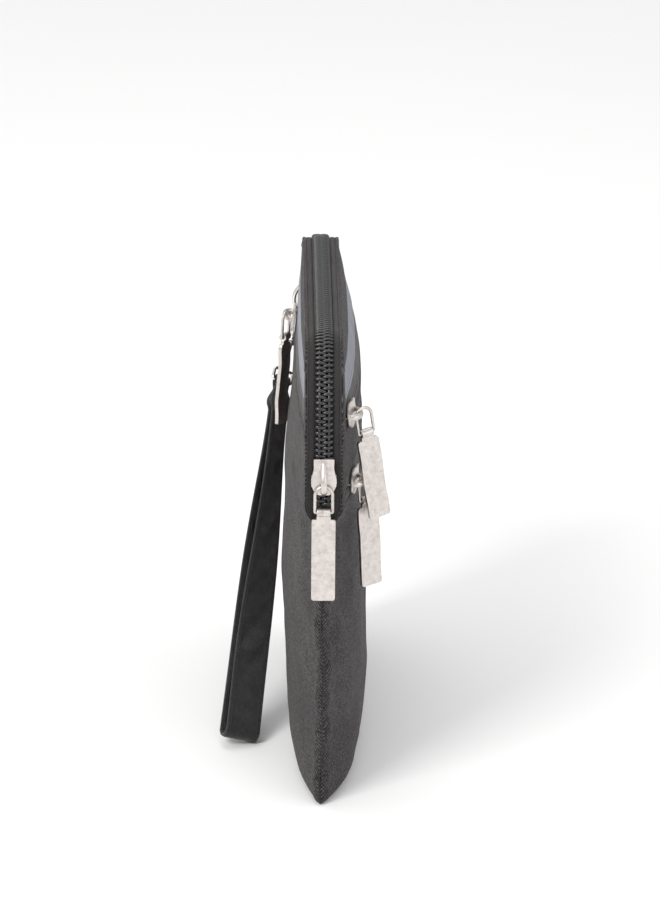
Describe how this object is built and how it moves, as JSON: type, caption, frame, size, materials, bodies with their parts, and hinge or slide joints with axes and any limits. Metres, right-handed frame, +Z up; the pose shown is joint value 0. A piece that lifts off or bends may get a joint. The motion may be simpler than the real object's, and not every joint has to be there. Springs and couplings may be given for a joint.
{
  "type": "zippered pouch",
  "caption": "Slim soft pouch that stands on its base, with a zip round the top, pocket zips with hanging pulls, and a clipped wrist strap.",
  "frame": {"origin": "on the ground under the middle of the pouch, on its underside", "axes": "+X across the width, away from the side where the main slider rests; -Y out of the front face; +Z up"},
  "size_m": [0.1572, 0.0547, 0.1545],
  "materials": {
    "panel_twill": "woven nylon twill",
    "lining_cloth": "plain woven polyester",
    "black_zip_tape": "herringbone zip tape",
    "slate_zip_tape": "ribbed zip tape",
    "black_coil": "glossy nylon coil",
    "slate_coil": "nylon coil",
    "satin_nickel": "satin nickel plate",
    "polished_steel": "polished nickel plate",
    "strap_webbing": "folded nylon satin"
  },
  "bodies": {
    "pouch": {"front_top_panel": "panel_twill", "front_middle_panel": "panel_twill", "front_main_panel": "panel_twill", "back_top_panel": "panel_twill", "back_main_panel": "panel_twill", "far_gusset": "panel_twill", "front_lining": "lining_cloth", "back_lining": "lining_cloth", "front_upper_pocket_bag": "lining_cloth", "front_lower_pocket_bag": "lining_cloth", "back_pocket_bag": "lining_cloth", "main_zip_front_tape": "black_zip_tape", "main_zip_back_tape": "black_zip_tape", "main_zip_front_coil": "black_coil", "main_zip_back_coil": "black_coil", "front_upper_zip_tape": "slate_zip_tape", "front_upper_zip_coil": "slate_coil", "front_lower_zip_tape": "black_zip_tape", "front_lower_zip_coil": "black_coil", "back_zip_tape": "slate_zip_tape", "back_zip_coil": "slate_coil", "ring_tab": "strap_webbing"},
    "main_slider": {"main_slider": "satin_nickel"},
    "main_pull_loop": {"main_pull_loop": "satin_nickel"},
    "main_pull_tab": {"main_pull_tab": "satin_nickel"},
    "front_upper_slider": {"front_upper_slider": "satin_nickel"},
    "front_upper_pull_loop": {"front_upper_pull_loop": "satin_nickel"},
    "front_upper_pull_tab": {"front_upper_pull_tab": "satin_nickel"},
    "front_lower_slider": {"front_lower_slider": "satin_nickel"},
    "front_lower_pull_loop": {"front_lower_pull_loop": "satin_nickel"},
    "front_lower_pull_tab": {"front_lower_pull_tab": "satin_nickel"},
    "back_slider": {"back_slider": "satin_nickel"},
    "back_pull_loop": {"back_pull_loop": "satin_nickel"},
    "back_pull_tab": {"back_pull_tab": "satin_nickel"},
    "ring": {"hanging_ring": "polished_steel"},
    "clasp_hook": {"clasp_hook": "polished_steel"},
    "clasp_gate": {"clasp_gate": "polished_steel"},
    "clasp_swivel": {"clasp_swivel": "polished_steel"},
    "wrist_strap": {"wrist_strap": "strap_webbing"}
  },
  "joints": [
    {"name": "main_slider_slide", "type": "slide", "parent": "pouch", "child": "main_slider", "axis": [0, 0, 1], "range_m": [0, 0.008]},
    {"name": "main_loop_swing", "type": "hinge", "parent": "main_slider", "child": "main_pull_loop", "pos_m": [-0.0751, 0, 0.1117], "axis": [0, 1, 0], "range_deg": [0, 120]},
    {"name": "main_tab_swing", "type": "hinge", "parent": "main_pull_loop", "child": "main_pull_tab", "pos_m": [-0.0751, 0, 0.1031], "axis": [0, 1, 0], "range_deg": [-4, 60]},
    {"name": "front_upper_slider_run", "type": "hinge", "parent": "pouch", "child": "front_upper_slider", "pos_m": [0, 0.44043, 0.131], "axis": [0, 0, 1], "range_deg": [0, 14.28]},
    {"name": "front_upper_loop_swing", "type": "hinge", "parent": "front_upper_slider", "child": "front_upper_pull_loop", "pos_m": [-0.06274, -0.01, 0.131], "axis": [0.8829, 0.4695, 0], "range_deg": [-30, 0]},
    {"name": "front_upper_tab_swing", "type": "hinge", "parent": "front_upper_pull_loop", "child": "front_upper_pull_tab", "pos_m": [-0.06091, -0.01345, 0.12468], "axis": [-0.4623, 0.8695, -0.1736], "range_deg": [0, 80]},
    {"name": "front_lower_slider_run", "type": "hinge", "parent": "pouch", "child": "front_lower_slider", "pos_m": [0, 0.38617, 0.107], "axis": [0, 0, 1], "range_deg": [0, 15.54]},
    {"name": "front_lower_loop_swing", "type": "hinge", "parent": "front_lower_slider", "child": "front_lower_pull_loop", "pos_m": [-0.05826, -0.01127, 0.107], "axis": [0.848, 0.5299, 0], "range_deg": [-30, 4]},
    {"name": "front_lower_tab_swing", "type": "hinge", "parent": "front_lower_pull_loop", "child": "front_lower_pull_tab", "pos_m": [-0.05655, -0.01401, 0.10031], "axis": [-0.5286, 0.846, -0.0698], "range_deg": [-3, 20]},
    {"name": "back_slider_run", "type": "hinge", "parent": "pouch", "child": "back_slider", "pos_m": [0, -1.06133, 0.131], "axis": [0, 0, 1], "range_deg": [-1.13, 4.45]},
    {"name": "back_loop_swing", "type": "hinge", "parent": "back_slider", "child": "back_pull_loop", "pos_m": [0.03287, 0.01035, 0.131], "axis": [-0.4067, -0.9135, 0], "range_deg": [-25, 2]},
    {"name": "back_tab_swing", "type": "hinge", "parent": "back_pull_loop", "child": "back_pull_tab", "pos_m": [0.02961, 0.0118, 0.12449], "axis": [0.9067, -0.4037, -0.1219], "range_deg": [0, 80]},
    {"name": "ring_swing", "type": "hinge", "parent": "pouch", "child": "ring", "pos_m": [0.077, 0.0018, 0.1278], "axis": [0, 1, 0], "range_deg": [-100, 0]},
    {"name": "clasp_swing", "type": "hinge", "parent": "ring", "child": "clasp_hook", "pos_m": [0.077, 0.00693, 0.11679], "axis": [0, 0.6428, 0.766], "range_deg": [-60, 0]},
    {"name": "gate_press", "type": "hinge", "parent": "clasp_hook", "child": "clasp_gate", "pos_m": [0.07024, 0.00741, 0.11249], "axis": [0.2905, -0.7879, -0.543], "range_deg": [-22, 0], "stiffness_Nm_per_rad": 0.002},
    {"name": "swivel_turn", "type": "hinge", "parent": "clasp_hook", "child": "clasp_swivel", "pos_m": [0.077, 0.00693, 0.11679], "axis": [-0.6938, 0.2174, -0.6866], "range_deg": [-30, 0]},
    {"name": "strap_swing", "type": "hinge", "parent": "clasp_swivel", "child": "wrist_strap", "pos_m": [0.05811, 0.01285, 0.0981], "axis": [-0.1613, 0.8822, 0.4424], "range_deg": [-50, 0]}
  ]
}
